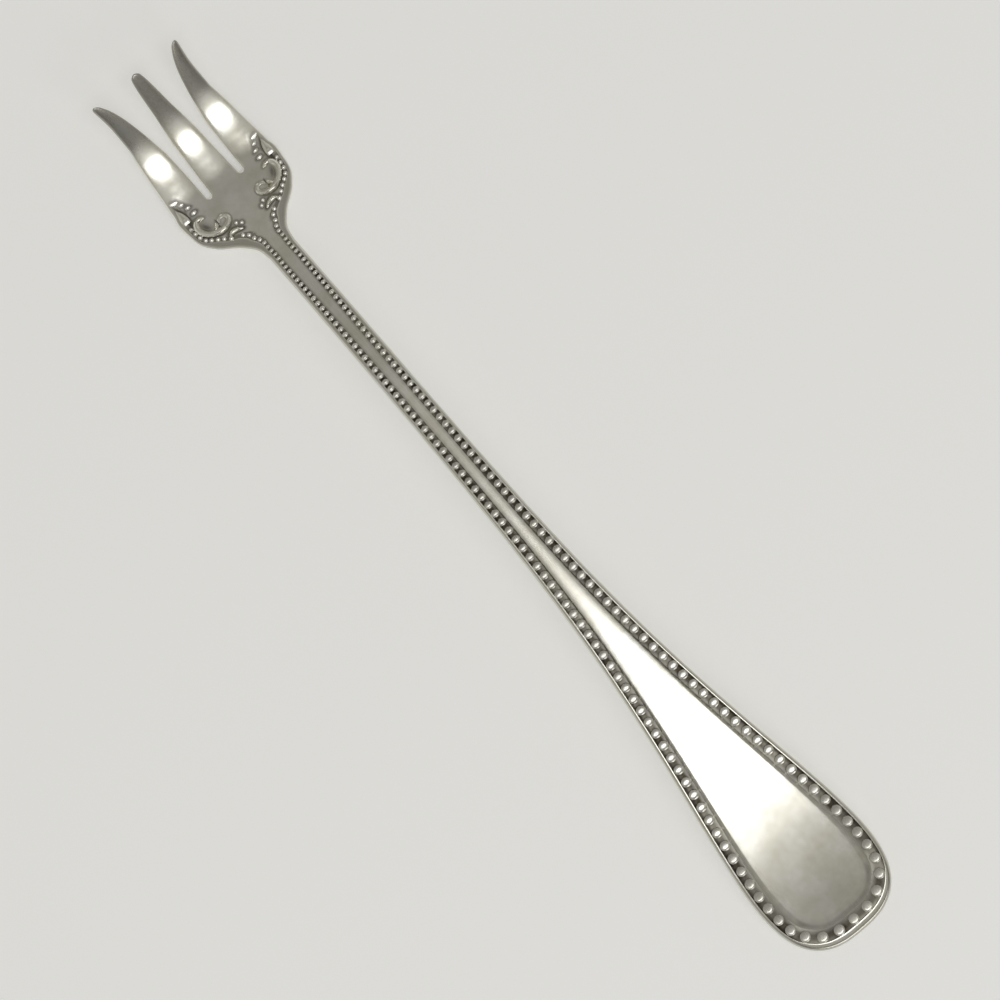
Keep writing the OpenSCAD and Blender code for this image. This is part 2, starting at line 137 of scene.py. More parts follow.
def bend(points, t):
    """Points on the smooth curve through a list of points, by the number of the point."""
    points = np.array(points, float)
    last = len(points) - 1
    i = np.minimum(np.floor(t).astype(int), last - 1)
    f = (t - i)[:, None]
    a, b = points[np.maximum(i - 1, 0)], points[i]
    c, d = points[i + 1], points[np.minimum(i + 2, last)]
    return b + ((c - a) * f + (2 * a - 5 * b + 4 * c - d) * f ** 2
                + (3 * b - a - 3 * c + d) * f ** 3) / 2


# Heights along the fork
def back_z(x):
    return through(BACK_LINE, x / HALF_LENGTH)


def face_z(x):
    return back_z(x) + STEM_T * through(THICK_LINE, x / HALF_LENGTH)


def crown(x):
    return through(CROWN_LINE, x / HALF_LENGTH)


def back_round(x):
    return through(BACK_ROUND_LINE, x / HALF_LENGTH)


# Border of the face, mostly in shares of the bead pitch; the gap and the fade in millimetres
SHOULDER_GAIN = 0.12
GAIN_END = 0.6
EDGE_GAP = 0.15
ROW_SHARE = 0.6
TIP_GAIN = 0.85
SINK_SHARE = 0.17
FADE_START = SHOULDER_X + 0.3
FADE_LENGTH = 0.9
FLOOR_INSIDE = 0.38
WALL_FOOT = 0.34
WALL_TOP = 0.4
COVE_START, FLOOR_START, FLOOR_END, RIM_INSIDE = range(4)


def down_handle(x):
    return np.clip((x + HALF_LENGTH) / (NECK_X + HALF_LENGTH), 0, 1)


def down_shoulder(x):
    return (x - NECK_X) / SHOULDER_LEN


def pitch(x):
    return (BEAD_END + (BEAD_NECK - BEAD_END) * down_handle(x) ** BEAD_FALL
            + SHOULDER_GAIN * ramp(down_shoulder(x) / GAIN_END))


def bead_inset(x):
    return (EDGE_GAP + ROW_SHARE * pitch(x) + through(LIP_LINE, down_handle(x))
            + through(SWING_LINE, down_shoulder(x)))


def spacing(x):
    return pitch(x) + TIP_GAIN * through(LIP_LINE, down_handle(x))


def sink(x):
    return (SINK_SHARE * pitch(x) * (1 - ramp((x - FADE_START) / FADE_LENGTH))
            * through(DEPTH_LINE, down_handle(x)))


def floor_z(x):
    return face_z(x) - sink(x)


def border_insets(x):
    """Distances from the edge: the cove's start, both sides of the bead floor, the rim's inside."""
    d, p = bead_inset(x), pitch(x)
    cove = through(COVE_LINE, x / HALF_LENGTH)
    insets = d + cove * p, d + FLOOR_INSIDE * p, d - WALL_FOOT * p, d - WALL_TOP * p
    return np.stack(insets, -1)


# Outline of the left half by the run u along it from the handle end, about in millimetres
CAP_RUN = 16
CAP_FAN = 1
NUDGE = 0.05


def half_width(x):
    head = np.where(x < SHOULDER_X, down_shoulder(x),
                    1 + (x - SHOULDER_X) / (HALF_LENGTH - SHOULDER_X))
    bell = np.exp(-(np.maximum(x - BULB_X, 0) / TAPER_REACH) ** TAPER_POWER)
    return STEM_W / 2 + np.where(x > NECK_X, (SHOULDER_W - STEM_W) / 2 * through(HEAD_LINE, head),
                                 (HANDLE_W - STEM_W) / 2 * bell)


def run_at(x):
    return CAP_RUN + x - BULB_X


def x_at(u):
    return BULB_X + u - CAP_RUN


def cap_angle(u):
    return np.radians(90 * u / CAP_RUN)


def outline(u):
    u = np.asarray(u, float)
    angle = cap_angle(u)
    along, across = np.abs(np.cos(angle)) / END_ROUND, np.abs(np.sin(angle)) * 2 / HANDLE_W
    radius = (along ** END_POWER + across ** END_POWER) ** (-1 / END_POWER)
    cap = np.stack([BULB_X - radius * np.cos(angle), radius * np.sin(angle)], -1)
    side = np.stack([x_at(u), half_width(x_at(u))], -1)
    return np.where((u < CAP_RUN)[..., None], cap, side)


def inward(u):
    step = outline(u + NUDGE) - outline(u - NUDGE)
    turned = np.stack([step[..., 1], -step[..., 0]], -1)
    return turned / np.linalg.norm(turned, axis=-1, keepdims=True)


def foot(u):
    """Where the row that ends at u on the outline starts on the middle line."""
    u = np.asarray(u, float)
    x = np.where(u < CAP_RUN, BULB_X - CAP_FAN * np.cos(cap_angle(u)), x_at(u))
    return np.stack([x, np.zeros_like(x)], -1)


def reach_of_panel(u):
    """Rows from the middle line to the edge: direction, lean against the edge, panel's length."""
    out = outline(u) - foot(u)
    span = np.linalg.norm(out, axis=-1)
    out = out / span[..., None]
    lean = -(out * inward(u)).sum(-1)
    return out, lean, span - border_insets(outline(u)[..., 0])[..., COVE_START] / lean


# Bead places, marched along one row inside the outline
def bead_path(u):
    edge = outline(u)
    out, lean, _ = reach_of_panel(u)
    return edge - out * (bead_inset(edge[..., 0]) / lean)[..., None]


def path_speed(u):
    return np.linalg.norm(bead_path(u + NUDGE) - bead_path(u - NUDGE)) / NUDGE / 2


def bead_runs(stop):
    runs = [0.0]
    while True:
        u = runs[-1]
        step = spacing(bead_path(u)[0])
        u += step / path_speed(u + step / 2 / path_speed(u))
        if bead_path(u)[0] > stop:
            return np.array(runs)
        runs.append(u)


TERMINAL_X = BULB_X - 3
GRIP_X = -10
LEAF_X = NECK_X + 5.55
LAST_NECK_X = LEAF_X - 0.2
PEARL_X = LEAF_X + 0.75
LAST_PEARL_X = SHOULDER_X + 0.2
BEAD_RUNS = bead_runs(LAST_PEARL_X)
BEAD_X = bead_path(BEAD_RUNS)[:, 0]

# Mesh pieces
WELD = 0.0002 * MM
SLIVER = 0.0001 * MM
MIRROR = np.array([1, -1, 1, 1])


def add_piece(name, points, faces, stain, material, nodes, slot):
    """A closed, smooth-shaded piece from points in millimetres, which replaces those CAD nodes."""
    mesh = bpy.data.meshes.new(name)
    mesh.from_pydata((np.asarray(points) * MM).tolist(), [], faces)
    patina_and_painted_shade = mesh.attributes.new("patina_and_painted_shade", "FLOAT", "POINT")
    patina_and_painted_shade.data.foreach_set("value", np.asarray(stain, np.float32))
    shape = bmesh.new()
    shape.from_mesh(mesh)
    bmesh.ops.remove_doubles(shape, verts=shape.verts, dist=WELD)
    bmesh.ops.dissolve_degenerate(shape, edges=shape.edges, dist=SLIVER)
    bmesh.ops.recalc_face_normals(shape, faces=shape.faces)
    shape.to_mesh(mesh)
    shape.free()
    mesh.materials.append(material)
    mesh.shade_smooth()
    piece = bpy.data.objects.new(name, mesh)
    bpy.context.scene.collection.objects.link(piece)
    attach(piece, "root")
    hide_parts(*nodes)


def grid_faces(rows, columns, start=0, closed=False):
    faces = []
    for i in range(rows - 1):
        for j in range(columns if closed else columns - 1):
            k = (j + 1) % columns
            a = start + i * columns
            faces.append((a + j, a + k, a + columns + k, a + columns + j))
    return faces


def flipped(points):
    """The points, with or without a patina value, on the other side of the middle line."""
    return np.asarray(points) * MIRROR[:np.shape(points)[-1]]


# Scroll work: ridges on curves of (past the scroll's place, from the middle, half width, height)
C_SCROLL = [(-1.55, 5.2, 0.14, 0.14), (-1.38, 5.72, 0.33, 0.45), (-1.4, 6.32, 0.4, 0.52),
            (-1.8, 6.72, 0.43, 0.46), (-2.45, 6.83, 0.45, 0.44), (-3.22, 6.58, 0.46, 0.48),
            (-3.92, 6, 0.46, 0.54), (-4.38, 5.25, 0.45, 0.56), (-4.58, 4.4, 0.44, 0.56),
            (-4.53, 3.6, 0.41, 0.52), (-4.2, 2.95, 0.36, 0.42), (-3.66, 2.66, 0.3, 0.27),
            (-3.15, 2.9, 0.25, 0.2), (-2.98, 3.45, 0.22, 0.16), (-3.2, 3.92, 0.18, 0.12),
            (-3.57, 4.05, 0.1, 0.06)]
INNER_LEAF = [(-4.08, 5.35, 0.1, 0.1), (-3.94, 4.93, 0.25, 0.3), (-3.64, 4.55, 0.26, 0.3),
              (-3.2, 4.42, 0.12, 0.12)]
NECK_SCROLL = [(-6.3, 2.05, 0.1, 0.06), (-6.1, 2.4, 0.24, 0.25), (-5.86, 2.85, 0.32, 0.38),
               (-5.74, 3.36, 0.34, 0.43), (-5.84, 3.8, 0.3, 0.38), (-6.12, 4.08, 0.22, 0.27),
               (-6.4, 4.22, 0.12, 0.12)]
SHOULDER_LEAF = [(-0.86, 7.38, 0.48, 0.02), (-0.46, 7.38, 0.52, 0.19), (-0.26, 7.38, 0.54, 0.24),
                 (0.15, 7.38, 0.5, 0.32), (0.85, 7.42, 0.35, 0.22), (1.75, 7.55, 0.07, 0.05)]
LEAF_FALL = (6, 6, 4, 1.8, 1.35, 1.35)
PEARL_PAIR = [(-5.15, 2.35), (-5.62, 1.75)]
PEARL_PAIR_R = 0.28
DROP = (LEAF_X + 0.2 - SCROLL_X, 4.2)
DROP_R = 0.36

# Elongated pearls: place, length, lean in degrees, half width and height, and the lift of each
SEEDS = [(-0.14, 5.8, 0.8, 92, 0.28, 0.18), (0.9, 6, 0.75, 84, 0.26, 0.155),
         (1.78, 6.47, 0.75, 72, 0.26, 0.13), (2.57, 7.05, 1.2, 75, 0.33, 0.1)]
SEED_LIFT = [0, 0.01, 0.08, 0.15]
SEED_CREST = -0.4
SEED_FALL = 1.05


def seed_path(x, y, length, lean, radius, height):
    turn = math.radians(lean)
    reach = np.array([math.cos(turn), math.sin(turn), 0, 0]) * length / 2
    tip = np.array([x, y, radius / 2, height / 3])
    return [tip - reach, (x, y, radius, height), tip + reach]


# Scroll work with the patina of the ground to the left and to the right along each curve
SCROLL_WORK = [
    (C_SCROLL, 0.3, (0.3, 0.5, 0.9, 0.95, 0.95, 0.95, 0.9, 0.5, 0.3, 0.3, 0.3)),
    (INNER_LEAF, 0.3, 0.9), (NECK_SCROLL, 0.8, 0.8), (SHOULDER_LEAF, 0.3, 0.9)]
SCROLL_WORK += [(seed_path(*seed), 0.6, 0.5) for seed in SEEDS]
SCROLL_WORK += [([(x - 0.01, y, PEARL_PAIR_R, 0), (x + 0.01, y, PEARL_PAIR_R, 0)], 0.6, 0.6)
                for x, y in PEARL_PAIR]
WORK_STEPS = 16
WORK_FROM, WORK_TO = -9, 4
NOT_NEAR = 9.0

# The ground round it: a shallow groove, a hollow inside the C-scroll and a boss in its lower curl
GROOVE_AT, GROOVE_WIDTH, GROOVE_DEPTH = 0.1, 0.2, 0.06
STAIN_AT, STAIN_FADE, STAIN_SPREAD = 0.05, 0.1, 0.45
HOLLOW_X, HOLLOW_Y, HOLLOW_TURN = -2.85, 5.82, math.radians(28)
HOLLOW_LENGTH, HOLLOW_WIDTH, HOLLOW_DEPTH, HOLLOW_STAIN = 1.15, 0.5, 0.22, 0.75
BOSS_X, BOSS_Y, BOSS_R, BOSS_HEIGHT = -3.75, 3.4, 0.7, 0.12


def trodden():
    """Along all the scroll work: place, half width, direction to the left, patina on both sides."""
    runs = []
    for path, left, right in SCROLL_WORK:
        p = bend(path, np.linspace(0, len(path) - 1, WORK_STEPS * len(path)))
        ahead = np.gradient(p[:, :2], axis=0)
        aside = np.stack([-ahead[:, 1], ahead[:, 0]], -1)
        aside = aside / np.linalg.norm(ahead, axis=-1, keepdims=True)
        shares = np.linspace(0, 1, len(p))
        sides = [np.interp(shares, np.linspace(0, 1, np.size(w)), np.ravel(w))
                 for w in (left, right)]
        runs.append(np.column_stack([p[:, :3], aside, *sides]))
    return np.concatenate(runs)


TRODDEN = trodden()


def ground(x, y):
    """Depth of the ground round the scroll work below the face, and its patina."""
    shape = np.shape(x)
    x, y = np.ravel(x) - SCROLL_X, np.abs(np.ravel(y))
    gap, dark = np.full(x.shape, NOT_NEAR), np.zeros(x.shape)
    near = np.flatnonzero((x > WORK_FROM) & (x < WORK_TO))
    work_x, work_y, half, aside_x, aside_y, left_stain, right_stain = TRODDEN.T
    off_x, off_y = x[near][:, None] - work_x, y[near][:, None] - work_y
    far = np.hypot(off_x, off_y) - half
    first = far.argmin(axis=1)
    pick = np.arange(len(near)), first
    left = off_x[pick] * aside_x[first] + off_y[pick] * aside_y[first] > 0
    gap[near] = far[pick]
    dark[near] = np.where(left, left_stain[first], right_stain[first])
    groove = np.exp(-((gap - GROOVE_AT) / GROOVE_WIDTH) ** 2)
    off_x, off_y = x - HOLLOW_X, y - HOLLOW_Y
    along = off_x * math.cos(HOLLOW_TURN) + off_y * math.sin(HOLLOW_TURN)
    across = off_y * math.cos(HOLLOW_TURN) - off_x * math.sin(HOLLOW_TURN)
    hollow = np.exp(-(along / HOLLOW_LENGTH) ** 2 - (across / HOLLOW_WIDTH) ** 2)
    boss = np.clip(1 - ((x - BOSS_X) ** 2 + (y - BOSS_Y) ** 2) / BOSS_R ** 2, 0, 1)
    depth = np.maximum(GROOVE_DEPTH * groove * dark, HOLLOW_DEPTH * hollow) - BOSS_HEIGHT * boss
    fade = ramp(1 - (gap - STAIN_AT) / (STAIN_FADE + STAIN_SPREAD * dark))
    stain = np.maximum(dark * fade, HOLLOW_STAIN * hollow)
    return depth.reshape(shape), stain.reshape(shape)


RIDGE_COLUMNS = 13
RIDGE_FLARE = 1.18
RIDGE_DEPTH = 0.3
RIDGE_STAIN, RIDGE_STAIN_AT, RIDGE_STAIN_FADE = 0.4, 0.8, 0.2


def ridge(path, steps, crest=0, fall=1.35, lift=-0.01):
    """Points, faces and patina of a ridge that flares at its foot; its crest may lie aside."""
    last = len(path) - 1
    t = np.linspace(0, last, steps + 1)
    p = bend(path, t)
    fall = np.interp(t, np.arange(len(path)), np.broadcast_to(fall, len(path)))
    ahead = bend(path, np.minimum(t + NUDGE, last)) - bend(path, np.maximum(t - NUDGE, 0))
    side = np.stack([-ahead[:, 1], ahead[:, 0]], -1)
    side = side / np.linalg.norm(side, axis=-1, keepdims=True)
    s = np.linspace(1, -1, RIDGE_COLUMNS)
    width = p[:, 2:3] * RIDGE_FLARE
    x = SCROLL_X + p[:, :1] + side[:, :1] * width * s
    y = p[:, 1:2] + side[:, 1:] * width * s
    down = np.where(s > crest, (s - crest) / (1 - crest), (crest - s) / (1 + crest))
    top = face_z(x) - ground(x, y)[0] + p[:, 3:] * (1 - down ** fall[:, None]) + lift
    upper = np.stack([x, y, top], -1)
    lower = np.stack([x, y, face_z(x) - RIDGE_DEPTH], -1)[:, [-1, 0]]
    rows = np.concatenate([upper, lower], axis=1)
    columns = rows.shape[1]
    faces = grid_faces(len(rows), columns, closed=True)
    faces.append(tuple(range(columns)))
    faces.append(tuple(range((len(rows) - 1) * columns, len(rows) * columns)))
    upper_stain = RIDGE_STAIN * ramp((np.abs(s) - RIDGE_STAIN_AT) / RIDGE_STAIN_FADE)
    stain = np.tile(np.concatenate([upper_stain, [1, 1]]), (len(rows), 1))
    return rows.reshape(-1, 3), faces, stain.ravel()


# The struck blank: an upper and a lower sheet over one plan, which meet in a rounded edge
TINE_ROUND = 0.3
LEAST_ROUND = 0.05
TINE_CROWN = 0.155
CROWN_START = 4
ROOT_FADE = 2.5
EDGE_STEPS = np.radians(np.linspace(90, 0, 7))
SLOT_STEPS = SLOT_MID + SLOT_W / 2 * np.sin(np.radians(np.linspace(-90, 90, 9)))
MIDDLE_STEPS, OUTER_STEPS = 9, 22
BORDER_STEPS = (COVE_START, 7), (FLOOR_START, 4), (FLOOR_END, 6)
RIM_STEPS = 4
BEAD_ROWS, END_ROWS, ROOT_ROWS = 5, 9, 9
ROOT_RUN = 0.5
TINE_ROWS = 1 - (1 - np.linspace(0, 1, 60)[1:]) ** 1.35
ROOT_REACH = reach_of_panel(run_at(ROOT_X))[2]


def panel_shares():
    """Shares of the panel's reach: close together where the slot edges will be."""
    soft = TINE_ROUND * (1 - np.cos(EDGE_STEPS))[:-1]
    middle = np.linspace(0, SLOT_LOW - TINE_ROUND, MIDDLE_STEPS)[:-1]
    outer = np.linspace(SLOT_HIGH + TINE_ROUND, ROOT_REACH, OUTER_STEPS)[1:]
    places = [middle, SLOT_LOW - soft, SLOT_STEPS, (SLOT_HIGH + soft)[::-1], outer]
    return np.concatenate(places) / ROOT_REACH


SHARES = panel_shares()
SLOT_FIRST = int(np.argmin(np.abs(SHARES - SLOT_LOW / ROOT_REACH)))
SLOT_LAST = SLOT_FIRST + len(SLOT_STEPS) - 1

# Rim: share of its width that is rounded, how much less that is round the shoulders, its patina
RIM_MOST = 0.5
RIM_SHARE, RIM_LOSS, RIM_LOSS_END = 0.9, 0.35, 0.5
RIM_BLEND = 0.3
RIM_STAIN, RIM_STAIN_BLEND, RIM_STAIN_END = 0.3, 0.1, 2

# Patina of the bead border, with distances in bead pitches, and how dark the stem's gaps are
BORDER_STAIN, SHOULDER_LOSS, SHOULDER_LOSS_END = 0.97, 0.32, 0.4
COVE_STAIN, COVE_BEYOND = 0.55, 0.35
COVE_POWER, COVE_POWER_GAP = 1.3, 0.5
FLOOR_FADE, FLOOR_STAIN_AT = 0.25, 0.7
GAP_STAIN = [(-0.3, 1), (-0.1, 1.1), (0.03, 1.2), (0.16, 1.1), (0.3, 1)]

# Tips: share of the tine that is rounded off, their painted shade, and where that begins
TIP_ROUND = 0.022
TIP_PAINTED_SHADE = 0.55
TIP_DARK, TIP_DARK_FADE = 65.5, 3


def rim_round(x):
    """Rounding of the outer edge: the rim is rounder along the handle than round the shoulders."""
    share = RIM_SHARE - RIM_LOSS * ramp(down_shoulder(x) / RIM_LOSS_END)
    return np.minimum(share * border_insets(x)[..., RIM_INSIDE], RIM_MOST)


def section_plan(u):
    """Plan of rows across the left half: x, y, share of the panel, and distance from the edge."""
    edge = outline(u)
    out, lean, reach = reach_of_panel(u)
    insets = border_insets(edge[:, 0])
    soft = rim_round(edge[:, 0])[:, None]
    bands = [insets[:, k:k + 1] + (insets[:, k + 1:k + 2] - insets[:, k:k + 1])
             * np.linspace(0, 1, steps)[1:] for k, steps in BORDER_STEPS]
    rim = insets[:, RIM_INSIDE:]
    bands.append(rim + (soft - rim) * np.linspace(0, 1, RIM_STEPS)[1:-1])
    bands.append(soft * (1 - np.cos(EDGE_STEPS)))
    distance = np.concatenate(bands, axis=1)
    panel = foot(u)[:, None] + out[:, None] * (reach[:, None] * SHARES)[..., None]
    border = edge[:, None] - out[:, None] * (distance / lean[:, None])[..., None]
    at = np.concatenate([panel, border], axis=1)
    share = np.concatenate([np.tile(SHARES, (len(u), 1)), np.ones_like(distance)], axis=1)
    inner = insets[:, :1] + reach[:, None] * (1 - SHARES)
    return at[..., 0], at[..., 1], share, np.concatenate([inner, distance], axis=1)


def channel_wall(inset, d):
    return ramp((inset - d[..., RIM_INSIDE]) / (d[..., FLOOR_END] - d[..., RIM_INSIDE]))


def channel_depth(x, inset, d):
    """How far the bead border lies below the face, by the border's own distances d."""
    cove = ramp((d[..., COVE_START] - inset) / (d[..., COVE_START] - d[..., FLOOR_START]))
    return sink(x) * cove * channel_wall(inset, d)


def channel_stain(x, inset, d, between):
    """Patina of the border: darkest between the beads, fading up the cove and at the shoulders."""
    fade = d[..., COVE_START] + COVE_BEYOND * pitch(x)
    up_cove = np.clip((fade - inset) / (fade - d[..., FLOOR_START]), 0, 1)
    cove = COVE_STAIN * up_cove ** (COVE_POWER - COVE_POWER_GAP * between)
    on_floor = ramp((d[..., FLOOR_START] - inset) / (FLOOR_FADE * pitch(x)) + FLOOR_STAIN_AT)
    floor = through(GAP_STAIN, x / HALF_LENGTH) * on_floor
    strength = BORDER_STAIN - SHOULDER_LOSS * ramp(down_shoulder(x) / SHOULDER_LOSS_END)
    fading = 1 - ramp((x - FADE_START) / FADE_LENGTH)
    return strength * np.maximum(cove, floor) * channel_wall(inset, d) * fading


def roundness(distance, radius):
    return np.sqrt(1 - (1 - np.clip(distance / radius, 0, 1)) ** 2)


def sheet_heights(x, edge_share, share, extra):
    """Heights of both sheets: they meet half way up the edge and are full away from it."""
    low_edge = back_z(x) + back_round(x)
    middle, half = (face_z(x) + low_edge) / 2, (face_z(x) - low_edge) / 2
    top = middle + half * edge_share + extra
    back = middle - (half + back_round(x) * (1 - share ** 2)) * edge_share
    return top, np.maximum(back, 0)


def body_sheets(runs):
    """Both sheets of the left half up to the tine roots, as rows of (x, y, z, patina)."""
    x, y, share, inset = section_plan(runs)
    pull = ramp(1 - (ROOT_X - x) / ROOT_FADE)
    off = np.clip((y - SLOT_MID) * 2 / SLOT_W, -1, 1)
    x = x - SLOT_W / 2 * np.sqrt(1 - off ** 2) * pull
    slot = np.hypot(np.minimum(x - ROOT_X, 0), y - SLOT_MID) - SLOT_W / 2
    edge_x = np.broadcast_to(outline(runs)[:, :1], x.shape)
    border = border_insets(edge_x)
    edge_share = np.minimum(roundness(inset, rim_round(edge_x)), roundness(slot, TINE_ROUND))
    low = channel_depth(x, inset, border)
    depth, stain = ground(x, y)
    past_rim = inset - border[..., RIM_INSIDE]
    inside = ramp(past_rim / RIM_BLEND)
    extra = crown(x) * (1 - share ** 2) - low - depth * inside
    top, back = sheet_heights(x, edge_share, share, extra)
    turn = np.interp(runs, BEAD_RUNS, np.arange(len(BEAD_RUNS))) % 1
    between = ramp(1 - np.abs(2 * turn - 1))[:, None]
    stain = np.maximum(stain * inside, channel_stain(x, inset, border, between))
    on_rim = ramp(-past_rim / RIM_STAIN_BLEND) * ramp((SHOULDER_X - x) / RIM_STAIN_END)
    stain = np.maximum(stain, RIM_STAIN * on_rim)
    return np.stack([x, y, top, stain], -1), np.stack([x, y, back, 0 * x], -1)


def tine_sheets(low, high, root_top, root_back, shares):
    """Both sheets of a tine between two edges, from the root row's points to the rounded tip."""
    t = TINE_ROWS[:, None]
    a, b = low(t), high(t)
    close = np.sqrt(1 - np.clip((t - 1 + TIP_ROUND) / TIP_ROUND, 0, 1) ** 2)
    middle, half = (a + b) / 2, (b - a) / 2 * close
    y = middle + half * (2 * shares - 1)
    x = np.broadcast_to(ROOT_X + TINE_LEN * t, y.shape)
    distance = half - np.abs(y - middle)
    radius = np.minimum(TINE_ROUND, np.maximum((b - a) / 2, LEAST_ROUND))
    rise = ramp((x - ROOT_X) / CROWN_START)
    swell = TINE_CROWN * half * rise * (1 - (2 * shares - 1) ** 2)
    edge_share = roundness(distance, radius)
    depth, stain = ground(x, y)
    inside = ramp((distance - RIM_BLEND) / RIM_BLEND)
    share = np.minimum(np.abs(y) / ROOT_REACH, 1)
    top, back = sheet_heights(x, edge_share, share, swell * edge_share - depth * inside)
    # Painted shade: the tips are coloured darker towards their ends, for their dim reflection
    stain = np.maximum(stain * inside, TIP_PAINTED_SHADE * ramp((x - TIP_DARK) / TIP_DARK_FADE))
    return (np.concatenate([root_top[None], np.stack([x, y, top, stain], -1)]),
            np.concatenate([root_back[None], np.stack([x, y, back, 0 * x], -1)]))


def blank_mesh():
    """Points, faces, patina and painted tip shade of the blank, from the body's and tines' sheets.
    """
    between = [np.linspace(a, b, BEAD_ROWS + 1)[:-1]
               for a, b in zip(BEAD_RUNS[:-1], BEAD_RUNS[1:])]
    ending = np.linspace(BEAD_RUNS[-1], run_at(ROOT_X - ROOT_RUN), END_ROWS + 1)[:-1]
    root = run_at(ROOT_X) - ROOT_RUN * (1 - np.linspace(0, 1, ROOT_ROWS)) ** 2
    body = body_sheets(np.concatenate(between + [ending, root]))
    root_top, root_back = body[0][-1], body[1][-1]
    root_outer = root_top[-1, 1]
    outer_shares = (root_top[SLOT_LAST:, 1] - SLOT_HIGH) / (root_outer - SLOT_HIGH)
    outer = tine_sheets(lambda t: through(INNER_LINE, t),
                        lambda t: half_width(ROOT_X + TINE_LEN * t),
                        root_top[SLOT_LAST:], root_back[SLOT_LAST:], outer_shares)
    halves = [np.concatenate([flipped(r[:SLOT_FIRST + 1])[::-1], r[1:SLOT_FIRST + 1]])
              for r in (root_top, root_back)]
    middle_shares = (halves[0][:, 1] / SLOT_LOW + 1) / 2
    middle = tine_sheets(lambda t: -through(MIDDLE_LINE, t), lambda t: through(MIDDLE_LINE, t),
                         halves[0], halves[1], middle_shares)
    points, faces = [], []
    for sheet in [*body, *map(flipped, body), *outer, *map(flipped, outer), *middle]:
        faces += grid_faces(*sheet.shape[:2], start=sum(map(len, points)))
        points.append(sheet.reshape(-1, 4))
    points = np.concatenate(points)
    return points[:, :3], faces, points[:, 3]


# Beads: worn domes, whose form follows the place along the fork as a share of half its length:
# height in radii, power of the profile (2 is round), slant, width across the row, soil
wear = np.random.default_rng(11)
BEAD_SPREAD = 0.02
BEAD_RINGS = 9
BEAD_SIDES = 24
SEAT = 0.06
FOOT_STAIN, FOOT_SHARE = 0.6, 0.25
BEAD_GAIN = [(-1, 0.96), (-0.6, 1), (-0.3, 1.06), (1, 1.06)]
DOME_HEIGHT = [(-1, 0.4), (-0.93, 0.48), (-0.5, 0.6), (0.2, 0.7), (0.55, 0.95), (0.67, 0.85),
               (1, 0.85)]
DOME_FLAT = [(-1, 3.2), (-0.8, 3.1), (-0.67, 3), (-0.5, 3), (0.2, 2.1), (0.55, 1.6), (0.66, 1.8),
             (1, 1.8)]
DOME_SKEW = [(-1, 0.62), (-0.85, 0.58), (-0.78, 0.42), (-0.7, 0.15), (-0.62, 0), (0.6, 0),
             (0.67, -0.62), (1, -0.62)]
DOME_WIDE = [(-0.5, 1), (0, 1.15), (0.3, 1.25), (0.58, 1.25), (0.66, 1)]
SOILED = [(-1, 0.24), (-0.8, 0.22), (-0.65, 0.1), (-0.5, 0.14), (-0.3, 0.26), (0.05, 0.26),
          (0.2, 0.14), (0.35, 0)]
PEARL_FORM = {"height": 0.85, "flat": 1.8, "skew": -0.65}


def face_frame(at, along):
    """Axes of a bead on the face: along the row, across it and up."""
    slope = (face_z(at[0] + NUDGE) - face_z(at[0] - NUDGE)) / NUDGE / 2
    ahead = np.array([along[0], along[1], along[0] * slope])
    ahead = ahead / np.linalg.norm(ahead)
    up = np.array([-slope, 0, 1]) / math.hypot(slope, 1)
    return ahead, np.cross(up, ahead), up


def dome(at, along, radius, base, height, flat, skew, wide=1, soil=0):
    """Points, faces and patina of one bead that stands on height base, worn aslant by the skew."""
    ahead, side, up = face_frame(at, along)
    angle = np.linspace(0, 2 * math.pi, BEAD_SIDES, endpoint=False)
    rho = np.sin(np.linspace(0, math.pi / 2, BEAD_RINGS))[1:]
    rise = radius * height * (1 - rho ** flat) ** (1 / flat)
    centre = np.array([at[0], at[1], base])
    ring = np.cos(angle)[:, None] * ahead + np.sin(angle)[:, None] * side * wide
    rows = [centre + radius * r * ring + up * h * (1 - skew * r * ring[:, :1])
            for r, h in zip(rho, rise)]
    rows.append(centre + radius * ring - up * SEAT)
    points = np.concatenate([[centre + up * radius * height], *rows])
    faces = [(0, 1 + k, 1 + (k + 1) % BEAD_SIDES) for k in range(BEAD_SIDES)]
    faces += grid_faces(len(rows), BEAD_SIDES, start=1, closed=True)
    last = 1 + (len(rows) - 1) * BEAD_SIDES
    faces.append(tuple(range(last, last + BEAD_SIDES)))
    ring_stain = FOOT_STAIN * ramp(1 - rise / rise[0] / FOOT_SHARE)
    stain = np.concatenate([[0], np.repeat([*ring_stain, 1], BEAD_SIDES)])
    return points, faces, np.maximum(stain, soil)


def gathered(shapes):
    points, faces, stain = [], [], []
    for p, f, s in shapes:
        start = sum(map(len, points))
        faces += [tuple(start + i for i in face) for face in f]
        points.append(p)
        stain.append(s)
    return np.concatenate(points), faces, np.concatenate(stain)


def row_bead(u):
    at = bead_path(u)
    ahead = bead_path(u + NUDGE) - bead_path(u - NUDGE)
    lines = BEAD_GAIN, DOME_HEIGHT, DOME_FLAT, DOME_SKEW, DOME_WIDE, SOILED
    gain, *form = (through(line, at[0] / HALF_LENGTH) for line in lines)
    size = BEAD_SHARE * gain * pitch(at[0]) * wear.normal(1, BEAD_SPREAD)
    return dome(at, ahead, size, floor_z(at[0]), *form)


def bead_shapes(first, last):
    return [row_bead(u) for u, x in zip(BEAD_RUNS, BEAD_X) if first < x <= last]


def face_pearl(x, y, radius):
    at = np.array([SCROLL_X + x, y])
    return dome(at, np.array([1, 0]), radius, face_z(SCROLL_X + x), **PEARL_FORM)


# Materials; the colour sockets of a Mix node go by number, because their names repeat
MIX_FACTOR, MIX_A, MIX_B, MIX_RESULT = 0, 6, 7, 2


